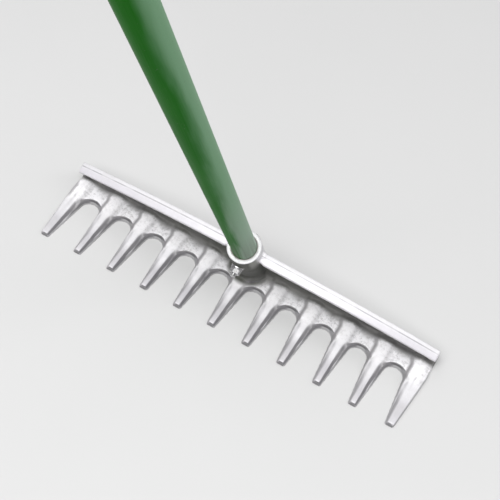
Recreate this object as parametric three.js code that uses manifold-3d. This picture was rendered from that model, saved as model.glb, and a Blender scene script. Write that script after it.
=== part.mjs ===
// Golf bunker rake: a cast aluminium comb head on a straight handle tube.
// Millimetres. The head lies on the flat back of its tines, as it does on level ground:
// X runs along the row of tines, the tines point towards -Y, and the handle rises in +Z,
// leaning forward over the tines by handleLean.

import * as THREE from 'three';
import { mergeVertices } from 'three/addons/utils/BufferGeometryUtils.js';
import Module from 'manifold-3d';

const wasm = await Module();
wasm.setup();

// Clearances shared by every fit
const fitGap = 0.3;
const cutOverrun = 5;

// Handle tube and the plug in its upper end
const handleLean = 24.2;
const tubeDiameter = 25.4;
const tubeWall = 1.2;
const tubeLength = 1200;
const plugRimHeight = 3;
const plugStemLength = 18;
const plugEdgeRound = 1.2;

// Row of tines
const tineCount = 11;
const tinePitch = 41;
const tineReach = 89.5;
const tipHalfWidth = 5.2;
const tipCornerRound = 2.6;
const tipThickness = 5;
const outerRootHalfWidth = 11;
const outerShoulder = 26;
const tineEdgeRound = 2.2;

// Arched gaps between the tines
const archDistance = 27.8;
const archHalfWidth = 10.2;
const archRise = 9.2;

// Plate that carries the tines: raised ridges with a shallow recess between them
const ridgeThickness = 7.6;
const ridgeCrownHalf = 3;
const ridgeFootHalf = 8.6;
const recessDepth = 2;

// Web that stands on the plate, and the arched rim along its top, measured up the web
const webLean = 28.4;
const webSetBack = 7.2;
const webThickness = 7.4;
const rimThickness = 11.2;
const rimEndHeight = 28;
const rimCrownHeight = 74;
const rimBeadHeight = 7;
const rimEdgeRound = 1.4;
const rimRearDrop = 0.7;

// Hollow curve that runs the web into the plate
const hollowEndDepth = 5;
const hollowCrownDepth = 15;

// Socket that takes the handle
const socketWall = 4.7;
const socketHeight = 84;
const socketFloor = 14;
const socketLipRound = 0.6;
const boreBevel = 0.5;
const footSpread = 3;
const footHeight = 8;
const rearFillet = 7;

// Cross bolt with its round head, washer and nut
const boltDiameter = 6;
const boltDrop = 20.5;
const boltHeadDiameter = 11;
const boltHeadHeight = 2.6;
const boltEndLength = 4;
const boltEndBevel = 0.7;
const nutAcross = 10;
const nutHeight = 4.8;
const nutCornerBevel = 0.5;
const washerDiameter = 12.5;
const washerThickness = 1.6;
const bossDiameter = 13.4;
const bossStand = 0.6;

// Shares of the sizes above
const wallDraftShare = 0.32;
const endDraftShare = 0.08;
const tipDraftShare = 0.3;
const creaseShare = 0.4;
const hollowFallShare = 2.2;
const hollowRiseShare = 1.9;
const plugGripShare = 0.98;

// Turn of the nut about the bolt, in degrees
const nutTurn = 10;

// Facet counts
const roundSteps = 48;
const smallRoundSteps = 24;
const archSteps = 16;
const cornerSteps = 3;
const edgeSteps = 3;
const ridgeSteps = 4;
const rimSteps = 40;
const hollowSteps = 6;
const filletSteps = 5;
const domeSteps = 5;

// Sizes worked out from those above
const lean = THREE.MathUtils.degToRad(handleLean);
const rimLean = THREE.MathUtils.degToRad(webLean);
const tineSpan = tinePitch * (tineCount - 1);
const headHalf = tineSpan / 2 + outerRootHalfWidth;
const tubeRadius = tubeDiameter / 2;
const boreRadius = tubeRadius + fitGap;
const socketRadius = boreRadius + socketWall;
const rimHalf = rimThickness / 2;
const webHalf = webThickness / 2;
const gapTipHalfWidth = tinePitch / 2 - tipHalfWidth;
const archCentre = -(archDistance + archRise);
const archTop = -(archDistance - ridgeThickness * wallDraftShare);
const holeRadius = boltDiameter / 2 + fitGap;
const boltHeight = socketHeight - boltDrop;
const bossFace = socketRadius + bossStand;
const seatGap = bossFace + fitGap;
const washerOuter = seatGap + washerThickness;
const nutSeat = washerOuter + fitGap;

// Turns a closed three.js geometry into a solid that can be joined and cut.
function solidFrom(geometry) {
  const plain = geometry.clone();
  plain.deleteAttribute('normal');
  plain.deleteAttribute('uv');
  const merged = mergeVertices(plain);
  const vertProperties = new Float32Array(merged.attributes.position.array);
  const triVerts = new Uint32Array(merged.index.array);
  return new wasm.Manifold(new wasm.Mesh({ numProp: 3, vertProperties, triVerts }));
}

// Gives a finished solid back as a three.js geometry.
function geometryFrom(solid) {
  const data = solid.getMesh();
  const geometry = new THREE.BufferGeometry();
  geometry.setAttribute('position', new THREE.BufferAttribute(new Float32Array(data.vertProperties), 3));
  geometry.setIndex(new THREE.BufferAttribute(new Uint32Array(data.triVerts), 1));
  geometry.computeVertexNormals();
  return geometry;
}

// Volume enclosed by an indexed list of points, negative when the faces look inwards.
function signedVolume(points, index) {
  let total = 0;
  for (let i = 0; i < index.length; i += 3) {
    const [a, b, c] = [points[index[i]], points[index[i + 1]], points[index[i + 2]]];
    total += a.dot(new THREE.Vector3().crossVectors(b, c)) / 6;
  }
  return total;
}

// Joins rings of the same number of points into one closed solid.
// flatten picks the two coordinates in which an end ring is laid out for its triangles.
function loft(rings, flatten) {
  const count = rings[0].length;
  const points = rings.flat();
  const index = [];
  for (let r = 0; r + 1 < rings.length; r += 1) {
    for (let k = 0; k < count; k += 1) {
      const next = (k + 1) % count;
      const [a, b] = [r * count + k, r * count + next];
      const [c, d] = [a + count, b + count];
      index.push(a, b, d, a, d, c);
    }
  }
  const clockwise = THREE.ShapeUtils.isClockWise(rings[0].map(flatten));
  for (const last of [false, true]) {
    const start = last ? points.length - count : 0;
    const outline = (last ? rings[rings.length - 1] : rings[0]).map(flatten);
    for (const [a, b, c] of THREE.ShapeUtils.triangulateShape(outline, [])) {
      const forward = last !== clockwise;
      index.push(start + a, start + (forward ? b : c), start + (forward ? c : b));
    }
  }
  if (signedVolume(points, index) < 0) {
    for (let i = 0; i < index.length; i += 3) {
      [index[i + 1], index[i + 2]] = [index[i + 2], index[i + 1]];
    }
  }
  const geometry = new THREE.BufferGeometry().setFromPoints(points);
  geometry.setIndex(index);
  return solidFrom(geometry);
}

const acrossX = (point) => new THREE.Vector2(point.y, point.z);
const fromAbove = (point) => new THREE.Vector2(point.x, point.y);

// Revolves a closed profile of [radius, height] pairs about the Z axis.
function revolve(profile) {
  const outline = profile.map(([radius, height]) => new THREE.Vector2(radius, height));
  return solidFrom(new THREE.LatheGeometry(outline, roundSteps).rotateX(Math.PI / 2));
}

// A plain rod along Y between two places, at the height of the bolt.
function rodAlongY(radius, from, to) {
  const rod = new THREE.CylinderGeometry(radius, radius, Math.abs(to - from), smallRoundSteps);
  return solidFrom(rod.translate(0, (from + to) / 2, boltHeight));
}

// Leans a solid that was made upright about the Z axis over to the handle's direction.
function leant(solid) {
  return solid.rotate([handleLean, 0, 0]);
}

// A point given across the web and up it, in the head's own Y and Z.
function upWeb(across, up) {
  const y = webSetBack + across * Math.cos(rimLean) - up * Math.sin(rimLean);
  const z = across * Math.sin(rimLean) + up * Math.cos(rimLean);
  return new THREE.Vector2(y, z);
}

// Where a face that runs up the web reaches a given height above the back.
function webAtHeight(across, z) {
  return upWeb(across, (z - across * Math.sin(rimLean)) / Math.cos(rimLean));
}

// How far behind the handle's axis a face of the web lies, at a place along the handle.
function webBehindHandle(across, along) {
  const slope = Math.tan(rimLean);
  const start = webSetBack + across / Math.cos(rimLean);
  const drift = along * (Math.sin(lean) - slope * Math.cos(lean));
  return (start + drift) / (Math.cos(lean) + slope * Math.sin(lean));
}

// Places of the tines and of the gaps between them along X.
const tineCentres = Array.from({ length: tineCount }, (_, i) => i * tinePitch - tineSpan / 2);
const gapCentres = tineCentres.slice(1).map((x) => x - tinePitch / 2);

// How far the plate's upper face lies below the ridges at x: nothing over a tine's crown
// and outside the last tines, the full recess between the ridges' feet, and a smooth curve
// from one to the other.
function sinkAt(x) {
  if (Math.abs(x) > tineSpan / 2) {
    return 0;
  }
  const slot = THREE.MathUtils.clamp(Math.round((x + tineSpan / 2) / tinePitch), 0, tineCount - 1);
  const fromTine = Math.abs(x - tineCentres[slot]);
  return recessDepth * THREE.MathUtils.smoothstep(fromTine, ridgeCrownHalf, ridgeFootHalf);
}

// Height of the plate's upper face: level up to the arches, then thinning to the tips.
function plateTopAt(x, y) {
  const along = THREE.MathUtils.clamp((archTop - y) / (archTop + tineReach), 0, 1);
  return THREE.MathUtils.lerp(ridgeThickness - sinkAt(x), tipThickness, along);
}

// Quarter round of an edge: pairs of set-back from the wall and drop below the upper face.
function quarterRound(radius, steps) {
  return Array.from({ length: steps + 1 }, (_, k) => {
    const angle = (k / steps) * (Math.PI / 2);
    return [radius * (1 - Math.cos(angle)), radius * (1 - Math.sin(angle))];
  });
}

// Height of the rim up the web: a flat arch that climbs to the socket.
function rimHeightAt(x) {
  return THREE.MathUtils.lerp(rimCrownHeight, rimEndHeight, (x / headHalf) ** 2);
}

// How far the hollow under the web reaches out over the plate.
function hollowDepthAt(x) {
  const toEnd = Math.max(0, 1 - Math.abs(x) / headHalf);
  return THREE.MathUtils.lerp(hollowEndDepth, hollowCrownDepth, toEnd ** hollowFallShare);
}

// Cross-section of the rim, web and hollow at x. The hollow's foot runs out at the level of
// the recess, so that the ridges rise out of it.
// trim takes the edges of the rim in, for the rounding at its two ends.
function rimSection(x, trim) {
  const top = rimHeightAt(x) - trim;
  const half = rimHalf - trim;
  const beadFoot = rimHeightAt(x) - rimBeadHeight;
  const inset = rimHalf - webHalf;
  const crease = THREE.MathUtils.lerp(half, -half, creaseShare);
  const depth = hollowDepthAt(x);
  const floor = ridgeThickness - recessDepth;
  const corner = webAtHeight(-webHalf, floor);
  const upper = webAtHeight(-webHalf, floor + depth * hollowRiseShare);
  const lower = new THREE.Vector2(corner.x - depth, floor);
  const round = quarterRound(rimEdgeRound, edgeSteps);
  const outline = [
    webAtHeight(webHalf, 0),
    upWeb(webHalf, beadFoot - inset),
    upWeb(half, beadFoot - trim),
    ...round.map(([back, drop]) => upWeb(half - back, top - rimRearDrop - drop)),
    upWeb(crease, top),
    ...round.map(([back, drop]) => upWeb(back - half, top - drop)).reverse(),
    upWeb(-half, beadFoot - trim),
    upWeb(-webHalf, beadFoot - inset),
    ...new THREE.QuadraticBezierCurve(upper, corner, lower).getPoints(hollowSteps),
    new THREE.Vector2(lower.x, 0),
  ];
  return outline.map((point) => new THREE.Vector3(x, point.x, point.y));
}

// Cross-section of the plate at x, from under the web to the rounded tips.
function plateSection(x) {
  const plateTop = plateTopAt(x, 0);
  const rear = webAtHeight(0, plateTop).x;
  const tipWallTop = -(tineReach - (tipThickness - tineEdgeRound) * tipDraftShare);
  const outline = [[rear, 0], [rear, plateTop], [archTop, plateTop]];
  for (const [back, drop] of quarterRound(tineEdgeRound, edgeSteps).reverse()) {
    const y = tipWallTop + back;
    outline.push([y, plateTopAt(x, y) - drop]);
  }
  outline.push([-tineReach, 0]);
  return outline.map(([y, z]) => new THREE.Vector3(x, y, z));
}

// Places along X where the plate's cross-section changes: over each ridge and mid gap.
function plateStations() {
  const places = [...gapCentres];
  for (const centre of tineCentres) {
    for (let k = 0; k <= ridgeSteps; k += 1) {
      const out = THREE.MathUtils.lerp(ridgeCrownHalf, ridgeFootHalf, k / ridgeSteps);
      places.push(centre - out, centre + out);
    }
  }
  const end = headHalf + cutOverrun;
  const inside = places.filter((x) => Math.abs(x) < tineSpan / 2);
  return [-end, ...inside, end].sort((a, b) => a - b);
}

// Rim, web and hollow in one piece, with rounded ends.
function rimBody() {
  const whole = headHalf - rimEdgeRound;
  const round = quarterRound(rimEdgeRound, edgeSteps);
  const rings = round.map(([back, drop]) => rimSection(-headHalf + back, drop));
  for (let k = 1; k < rimSteps; k += 1) {
    rings.push(rimSection(THREE.MathUtils.lerp(-whole, whole, k / rimSteps), 0));
  }
  round.reverse();
  rings.push(...round.map(([back, drop]) => rimSection(headHalf - back, drop)));
  return loft(rings, acrossX);
}

// Quarter round that blunts a tip's corner: pairs of inset and set-back.
function cornerRound() {
  return quarterRound(tipCornerRound, cornerSteps).map(([back, drop]) => [drop, back]);
}

// Plan outline of one gap at the back of the head: corner, leg, arch, leg, corner.
// nx and ny say which way the drafted wall leans as it rises.
function gapOutline() {
  const side = cornerRound().map(([inset, back]) => (
    { x: gapTipHalfWidth + inset, y: -tineReach + back, nx: 1, ny: 0 }));
  const right = [{ ...side[0], y: -tineReach - cutOverrun }, ...side];
  const left = right.map((p) => ({ ...p, x: -p.x, nx: -p.nx })).reverse();
  const arch = Array.from({ length: archSteps + 1 }, (_, k) => {
    const angle = (k / archSteps) * Math.PI;
    const [nx, ny] = [Math.cos(angle), Math.sin(angle)];
    return { x: archHalfWidth * nx, y: archCentre + archRise * ny, nx, ny };
  });
  return [...right, ...arch, ...left];
}

// A cutter whose walls lean into the plate with height and round its upper edge.
function draftedCutter(outline, draftShare) {
  const ring = (heightAt, outAt) => outline.map((p) => {
    const reach = ridgeThickness * draftShare + tineEdgeRound;
    const top = plateTopAt(p.x + p.nx * reach, p.y + p.ny * reach);
    const out = outAt(top);
    return new THREE.Vector3(p.x + p.nx * out, p.y + p.ny * out, heightAt(top));
  });
  const wallOut = (top) => (top - tineEdgeRound) * draftShare;
  const rings = [ring(() => -cutOverrun, () => -cutOverrun * draftShare)];
  for (const [back, drop] of quarterRound(tineEdgeRound, edgeSteps)) {
    rings.push(ring((top) => top - drop, (top) => wallOut(top) + back));
  }
  rings.push(ring((top) => top + cutOverrun, (top) => wallOut(top) + tineEdgeRound));
  return loft(rings, fromAbove);
}

// Trims one end of the plate to the outer edge of its last tine.
function endCutter(side) {
  const outer = headHalf + cutOverrun * 2;
  const tipEdge = tineSpan / 2 + tipHalfWidth;
  const rear = webSetBack + cutOverrun;
  const inner = [[headHalf, rear], [headHalf, -outerShoulder]];
  for (const [inset, back] of cornerRound().reverse()) {
    inner.push([tipEdge - inset, -tineReach + back]);
  }
  inner.push([tipEdge - tipCornerRound, -tineReach - cutOverrun]);
  const outline = inner.map(([x, y]) => ({ x: side * x, y, nx: -side, ny: 0 }));
  outline.push({ x: side * outer, y: -tineReach - cutOverrun, nx: 0, ny: 0 });
  outline.push({ x: side * outer, y: rear, nx: 0, ny: 0 });
  return draftedCutter(outline, endDraftShare);
}

// Plate with its tines: a blank that is cut by the gaps and at both ends.
function tinePlate() {
  let plate = loft(plateStations().map(plateSection), acrossX);
  const gap = gapOutline();
  for (const centre of gapCentres) {
    const outline = gap.map((p) => ({ ...p, x: p.x + centre }));
    plate = plate.subtract(draftedCutter(outline, wallDraftShare));
  }
  return plate.subtract(endCutter(-1)).subtract(endCutter(1));
}

// Foot of the socket: it spreads into the plate in front of the web.
function socketFoot() {
  const ring = (z, spread) => Array.from({ length: roundSteps }, (_, k) => {
    const angle = (k / roundSteps) * Math.PI * 2;
    const radius = socketRadius + spread;
    const y = radius * Math.sin(angle) / Math.cos(lean) - z * Math.tan(lean);
    return new THREE.Vector3(radius * Math.cos(angle), y, z);
  });
  const rings = [ring(0, footSpread)];
  for (let k = 0; k <= filletSteps; k += 1) {
    const angle = (k / filletSteps) * (Math.PI / 2);
    const rise = footHeight * (1 - Math.cos(angle));
    rings.push(ring(ridgeThickness + rise, footSpread * (1 - Math.sin(angle))));
  }
  const reach = (socketRadius + footSpread) * 2;
  const front = new THREE.BoxGeometry(reach, reach, ridgeThickness * 2 + footHeight * 2);
  front.translate(0, -reach / 2, 0);
  return loft(rings, fromAbove).intersect(solidFrom(front));
}

// Plan of the round corner between a rear face of the head and the socket, at one height.
function cornerRing(side, face, along) {
  const rear = webBehindHandle(face, along);
  const middle = webBehindHandle(0, along);
  const centreY = rear + rearFillet;
  const centreX = Math.sqrt((socketRadius + rearFillet) ** 2 - centreY ** 2);
  const end = Math.atan2(centreY, centreX) - Math.PI;
  const ring = [];
  for (let k = 0; k <= filletSteps; k += 1) {
    const angle = THREE.MathUtils.lerp(-Math.PI / 2, end, k / filletSteps);
    const x = centreX + rearFillet * Math.cos(angle);
    ring.push(new THREE.Vector3(side * x, centreY + rearFillet * Math.sin(angle), along));
  }
  ring.push(new THREE.Vector3(0, socketRadius / 2, along));
  ring.push(new THREE.Vector3(0, middle, along));
  ring.push(new THREE.Vector3(side * centreX, middle, along));
  return ring;
}

// Round corners that run the back of the web, and of the rim above it, into the socket.
function rearCorners() {
  const rimTop = rimHeightAt(socketRadius + rearFillet) - rimRearDrop - rimEdgeRound;
  const beadFoot = rimTop - rimBeadHeight;
  const corners = [];
  for (const side of [-1, 1]) {
    const low = [-socketRadius, beadFoot].map((along) => cornerRing(side, webHalf, along));
    const high = [beadFoot, rimTop].map((along) => cornerRing(side, rimHalf, along));
    corners.push(loft(low, fromAbove), loft(high, fromAbove));
  }
  return wasm.Manifold.union(corners);
}

// Socket post with its corners and bolt bosses, made upright and leant to the handle.
function socketPost() {
  const lip = quarterRound(socketLipRound, edgeSteps);
  const post = revolve([
    [0, -socketRadius],
    [socketRadius, -socketRadius],
    ...lip.map(([back, drop]) => [socketRadius - back, socketHeight - drop]),
    [0, socketHeight],
  ]);
  const bosses = rodAlongY(bossDiameter / 2, -bossFace, bossFace);
  return leant(post.add(bosses).add(rearCorners()));
}

// Everything taken out of the socket: the blind bore with its bevelled mouth, and the bolt hole.
function socketBore() {
  const bore = revolve([
    [0, socketFloor],
    [boreRadius, socketFloor],
    [boreRadius, socketHeight - boreBevel],
    [boreRadius + boreBevel + cutOverrun, socketHeight + cutOverrun],
    [0, socketHeight + cutOverrun],
  ]);
  const reach = bossFace + cutOverrun;
  return leant(bore.add(rodAlongY(holeRadius, -reach, reach)));
}

// The cast head: plate, rim and socket joined, then the bore and the level back cut.
function rakeHead() {
  const joined = tinePlate().add(rimBody()).add(socketFoot()).add(socketPost());
  const reach = socketHeight * 2;
  const ground = solidFrom(new THREE.BoxGeometry(reach, reach, reach));
  return joined.subtract(socketBore()).subtract(ground.translate([0, 0, -socketHeight]));
}

// The handle tube, drilled across for the bolt.
function handleTube() {
  const base = socketFloor + fitGap;
  const inner = tubeRadius - tubeWall;
  const tube = revolve([
    [inner, base],
    [tubeRadius, base],
    [tubeRadius, base + tubeLength],
    [inner, base + tubeLength],
    [inner, base],
  ]);
  const reach = tubeRadius + cutOverrun;
  return leant(tube.subtract(rodAlongY(holeRadius, -reach, reach)));
}

// Plug pushed into the upper end of the handle, with a rounded rim as wide as the tube.
function endPlug() {
  const seat = socketFloor + fitGap + tubeLength + fitGap;
  const top = seat + plugRimHeight;
  const stem = tubeRadius - tubeWall - fitGap;
  return leant(revolve([
    [0, seat - plugStemLength],
    [stem * plugGripShare, seat - plugStemLength],
    [stem, seat],
    [tubeRadius, seat],
    [tubeRadius, top - plugEdgeRound],
    [tubeRadius - plugEdgeRound, top],
    [0, top],
  ]));
}

// Low round head of the bolt, seated behind the socket.
function roundHead() {
  const radius = boltHeadDiameter / 2;
  const dome = (radius ** 2 + boltHeadHeight ** 2) / (boltHeadHeight * 2);
  const sweep = Math.asin(radius / dome);
  const outline = Array.from({ length: domeSteps + 1 }, (_, k) => {
    const angle = sweep * (1 - k / domeSteps);
    const y = seatGap + boltHeadHeight - dome * (1 - Math.cos(angle));
    return new THREE.Vector2(dome * Math.sin(angle), y);
  });
  outline.unshift(new THREE.Vector2(0, seatGap));
  return solidFrom(new THREE.LatheGeometry(outline, smallRoundSteps).translate(0, 0, boltHeight));
}

// Bolt with its head behind the socket and its end standing out of the nut in front.
function crossBolt() {
  const front = -(nutSeat + nutHeight + boltEndLength);
  const radius = boltDiameter / 2;
  const shank = rodAlongY(radius, front + boltEndBevel, seatGap + boltHeadHeight / 2);
  const tip = new THREE.CylinderGeometry(radius, radius - boltEndBevel, boltEndBevel, smallRoundSteps);
  tip.translate(0, front + boltEndBevel / 2, boltHeight);
  return leant(shank.add(solidFrom(tip)).add(roundHead()));
}

// Six-sided nut in front of the washer, with its outer corners turned off.
function hexNut() {
  const corner = nutAcross / Math.sqrt(3);
  const block = new THREE.CylinderGeometry(corner, corner, nutHeight, 6);
  block.rotateY(THREE.MathUtils.degToRad(nutTurn));
  const [outer, inner] = [corner - nutCornerBevel, corner + nutHeight];
  const cone = new THREE.CylinderGeometry(inner, outer, nutHeight + nutCornerBevel, smallRoundSteps);
  cone.translate(0, nutCornerBevel / 2, 0);
  const nut = solidFrom(block).intersect(solidFrom(cone));
  const seated = nut.translate([0, -(nutSeat + nutHeight / 2), boltHeight]);
  return leant(seated.subtract(rodAlongY(holeRadius, -(nutSeat + nutHeight + cutOverrun), 0)));
}

// Flat washer between the socket and the nut.
function washer() {
  const ring = rodAlongY(washerDiameter / 2, -washerOuter, -seatGap);
  return leant(ring.subtract(rodAlongY(holeRadius, -(washerOuter + cutOverrun), 0)));
}

const castAluminium = { color: 0xd9d7dc, roughness: 0.42, metalness: 0.9 };
const greenTube = { color: 0x4d7a4a, roughness: 0.32, metalness: 0.6 };
const platedSteel = { color: 0xc4c5c8, roughness: 0.28, metalness: 0.95 };
const darkPlastic = { color: 0x26292a, roughness: 0.6, metalness: 0 };

const rake = new THREE.Group();

function addPiece(name, solid, look) {
  const mesh = new THREE.Mesh(geometryFrom(solid), new THREE.MeshStandardMaterial(look));
  mesh.name = name;
  rake.add(mesh);
}

addPiece('rake_head', rakeHead(), castAluminium);
addPiece('handle_tube', handleTube(), greenTube);
addPiece('handle_end_plug', endPlug(), darkPlastic);
addPiece('socket_bolt', crossBolt(), platedSteel);
addPiece('bolt_washer', washer(), platedSteel);
addPiece('bolt_nut', hexNut(), platedSteel);

export default rake;
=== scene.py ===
# %% [markdown]
# A golf bunker rake: a cast aluminium comb head on a straight green handle.
# The measured solids come in first as a fixed frame. Every piece below is dressed on that
# frame and stays inside it, so sizes are never changed here, only edges, surfaces and
# light. Lengths are metres, X runs along the row of tines, and the tines point to -Y.

import functools
import math
from types import SimpleNamespace

import bmesh
import bpy
import numpy as np
from mathutils import Matrix, Vector


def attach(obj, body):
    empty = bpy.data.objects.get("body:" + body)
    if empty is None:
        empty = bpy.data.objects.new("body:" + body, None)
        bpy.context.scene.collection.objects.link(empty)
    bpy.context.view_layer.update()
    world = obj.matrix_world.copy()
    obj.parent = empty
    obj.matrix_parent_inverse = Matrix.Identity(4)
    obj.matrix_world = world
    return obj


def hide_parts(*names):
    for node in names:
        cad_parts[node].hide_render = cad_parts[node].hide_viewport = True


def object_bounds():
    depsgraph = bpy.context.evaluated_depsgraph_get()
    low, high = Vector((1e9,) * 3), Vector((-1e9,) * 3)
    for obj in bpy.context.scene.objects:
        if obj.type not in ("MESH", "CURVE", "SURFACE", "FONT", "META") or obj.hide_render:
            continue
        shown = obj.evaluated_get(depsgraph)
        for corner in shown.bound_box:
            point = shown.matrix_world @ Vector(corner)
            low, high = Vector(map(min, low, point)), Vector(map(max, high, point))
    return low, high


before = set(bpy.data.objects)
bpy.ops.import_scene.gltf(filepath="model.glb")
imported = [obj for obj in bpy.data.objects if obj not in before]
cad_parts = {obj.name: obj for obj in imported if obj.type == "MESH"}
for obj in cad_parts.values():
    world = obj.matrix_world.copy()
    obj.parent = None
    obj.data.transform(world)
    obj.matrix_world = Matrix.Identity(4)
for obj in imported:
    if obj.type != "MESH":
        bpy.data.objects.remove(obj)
cad_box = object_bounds()
MM = 0.001


def mm(*lengths):
    return tuple(length * MM for length in lengths)


print("CAD box", [round(c, 4) for corner in cad_box for c in corner])

# %% [markdown]
# The camera. The rake was photographed from above and to the right, with a fairly long lens,
# so its lines run almost parallel. Three directions and a place describe such a camera
# exactly: right, down and forward as unit vectors. Blender's camera looks along its own -Z
# with +Y up, so down and forward change sign when they become its axes.

# %% Camera
CAMERA_RIGHT = (0.863078146, 0.493931028, 0.105490534)
CAMERA_DOWN = (0.457761581, -0.676724868, -0.576626211)
CAMERA_FORWARD = (-0.213425510, 0.545962995, -0.810169093)
CAMERA_PLACE = (0.228678, -0.601889, 0.918378)
SENSOR_WIDTH = 36.0
FOCAL_IN_FRAME_WIDTHS = 2.1
NEAREST_SEEN = 0.01

camera_data = bpy.data.cameras.new("camera")
camera_data.sensor_width = SENSOR_WIDTH
camera_data.lens = SENSOR_WIDTH * FOCAL_IN_FRAME_WIDTHS
camera_data.clip_start = NEAREST_SEEN
camera = bpy.data.objects.new("camera", camera_data)
camera_axes = (Vector(CAMERA_RIGHT), -Vector(CAMERA_DOWN), -Vector(CAMERA_FORWARD))
camera_turn = Matrix(camera_axes).transposed().to_4x4()
camera.matrix_world = Matrix.Translation(CAMERA_PLACE) @ camera_turn
bpy.context.scene.collection.objects.link(camera)
bpy.context.scene.camera = camera
print("camera lens", camera_data.lens)

# %% [markdown]
# The handle leans forward over the tines, and the bolt crosses it square. Places on the
# handle are easiest to give in its own directions: along it, and from its front to its
# back. The lean is the one angle that the handle, the socket and the fasteners share.

# %% The handle's own directions
HANDLE_LEAN = math.radians(24.2)
ALONG = Vector((0, -math.sin(HANDLE_LEAN), math.cos(HANDLE_LEAN)))
BEHIND = Vector((0, math.cos(HANDLE_LEAN), math.sin(HANDLE_LEAN)))
TUBE_RADIUS = 12.7 * MM
SOCKET_TOP = 84 * MM
BOLT_ALONG = 63.5 * MM
print("handle leans", round(math.degrees(HANDLE_LEAN), 1), "degrees")

# %% [markdown]
# The solids arrive as loose triangles, each with its own corners. A copy has its doubled
# corners merged, so that neighbouring faces know each other and can shade as one surface.
# The solid itself is left as it is, because the collision model stands on it.

# %% Merged copies of the solids
MERGE_DISTANCE = 0.00001


def merged_copy(solid, name):
    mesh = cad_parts[solid].data.copy()
    mesh.name = name
    mesh.materials.clear()
    work = bmesh.new()
    work.from_mesh(mesh)
    bmesh.ops.remove_doubles(work, verts=work.verts, dist=MERGE_DISTANCE)
    work.to_mesh(mesh)
    work.free()
    piece = bpy.data.objects.new(name, mesh)
    bpy.context.scene.collection.objects.link(piece)
    return piece


# %% [markdown]
# Every piece ends the same way. Its modifiers are worked into a plain mesh, corners that
# rounding pushed out come back into the solids' box, its finish is put on, it is hung on
# the root body, and the solids that it stands for are hidden.

# %% Finishing a piece
def live_result(piece):
    graph = bpy.context.evaluated_depsgraph_get()
    made = bpy.data.meshes.new_from_object(piece.evaluated_get(graph), depsgraph=graph)
    old = piece.data
    piece.modifiers.clear()
    piece.data = made
    made.name = piece.name
    bpy.data.meshes.remove(old)


def keep_in_box(piece):
    places = np.empty(len(piece.data.vertices) * 3)
    piece.data.vertices.foreach_get("co", places)
    inside = np.clip(places.reshape(-1, 3), cad_box[0], cad_box[1])
    piece.data.vertices.foreach_set("co", inside.ravel())
    piece.data.update()


def triangle_count(piece):
    return sum(len(face.vertices) - 2 for face in piece.data.polygons)


def finish_piece(piece, nodes, material):
    keep_in_box(piece)
    piece.data.materials.clear()
    piece.data.materials.append(material)
    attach(piece, "root")
    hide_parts(*nodes)
    print(piece.name, "triangles", triangle_count(piece))


# %% [markdown]
# Materials and Geometry Nodes are both graphs of small steps, and most of their steps are
# the same maths nodes. One small class makes a node, sets its values and wires it, so that
# the rules below read almost like formulas. Wherever a value is asked for, a plain number
# or another node's output will do. Over divides, size drops the sign, and largest keeps the
# greatest.

# %% Node helpers: numbers
class Numbers:
    def __init__(self, tree):
        self.tree = tree

    def put(self, target, source):
        # Wires a socket to a source, or sets a plain value on it.
        if isinstance(source, bpy.types.NodeSocket):
            self.tree.links.new(source, target)
        else:
            target.default_value = source

    def node(self, kind, inputs=None, **settings):
        made = self.tree.nodes.new(kind)
        for key, value in settings.items():
            setattr(made, key, value)
        for key, value in (inputs or {}).items():
            self.put(made.inputs[key], value)
        return made

    def math(self, operation, *values):
        inputs = dict(enumerate(values))
        return self.node("ShaderNodeMath", inputs, operation=operation).outputs[0]

    def add(self, *terms):
        return functools.reduce(functools.partial(self.math, "ADD"), terms)

    def times(self, *factors):
        return functools.reduce(functools.partial(self.math, "MULTIPLY"), factors)

    def minus(self, first, second):
        return self.math("SUBTRACT", first, second)

    def over(self, first, second):
        return self.math("DIVIDE", first, second)

    def size(self, value):
        return self.math("ABSOLUTE", value)

    def largest(self, *values):
        return functools.reduce(functools.partial(self.math, "MAXIMUM"), values)


# %% [markdown]
# A mask says where something lies, from 0 to 1. Most masks here are soft steps along a
# measure, such as a height, or through noise. The measures come from vectors: how far a
# place lies along a direction is the dot product of the two.

# %% Node helpers: vectors, soft steps and noise
class Masks(Numbers):
    def vector(self, operation, **inputs):
        # The inputs are a, b and scale.
        keys = {"a": 0, "b": 1, "scale": "Scale"}
        inputs = {keys[name]: value for name, value in inputs.items()}
        return self.node("ShaderNodeVectorMath", inputs, operation=operation).outputs

    def dot(self, vector, direction):
        return self.vector("DOT_PRODUCT", a=vector, b=direction)["Value"]

    def length(self, vector):
        return self.vector("LENGTH", a=vector)["Value"]

    def span(self, source, low, high, to_low=0.0, to_high=1.0):
        # A soft step between two values; it falls instead of rising where high is the lower.
        inputs = {"Value": source, "From Min": low, "From Max": high,
                  "To Min": to_low, "To Max": to_high}
        made = self.node("ShaderNodeMapRange", inputs, interpolation_type="SMOOTHSTEP")
        return made.outputs["Result"]

    def band(self, source, start, full, fading, end):
        # Rises from start to full, and falls again from fading to end.
        return self.times(self.span(source, start, full), self.span(source, end, fading))

    def noise(self, vector, scale, detail=3.0, roughness=0.5):
        inputs = {"Vector": vector, "Scale": scale, "Detail": detail, "Roughness": roughness}
        return self.node("ShaderNodeTexNoise", inputs).outputs["Fac"]


# %% [markdown]
# Materials also mix colours. Most finishes here are stacks of layers, as on the real tool:
# bare metal first, then what covers or wears it. Each layer has a mask that says where it
# lies, and a colour. Every finish ends alike, with a colour, a roughness and fine bumps.

# %% Node helpers: colours
def opaque(colour):
    return (*colour, 1) if isinstance(colour, tuple) else colour


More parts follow.
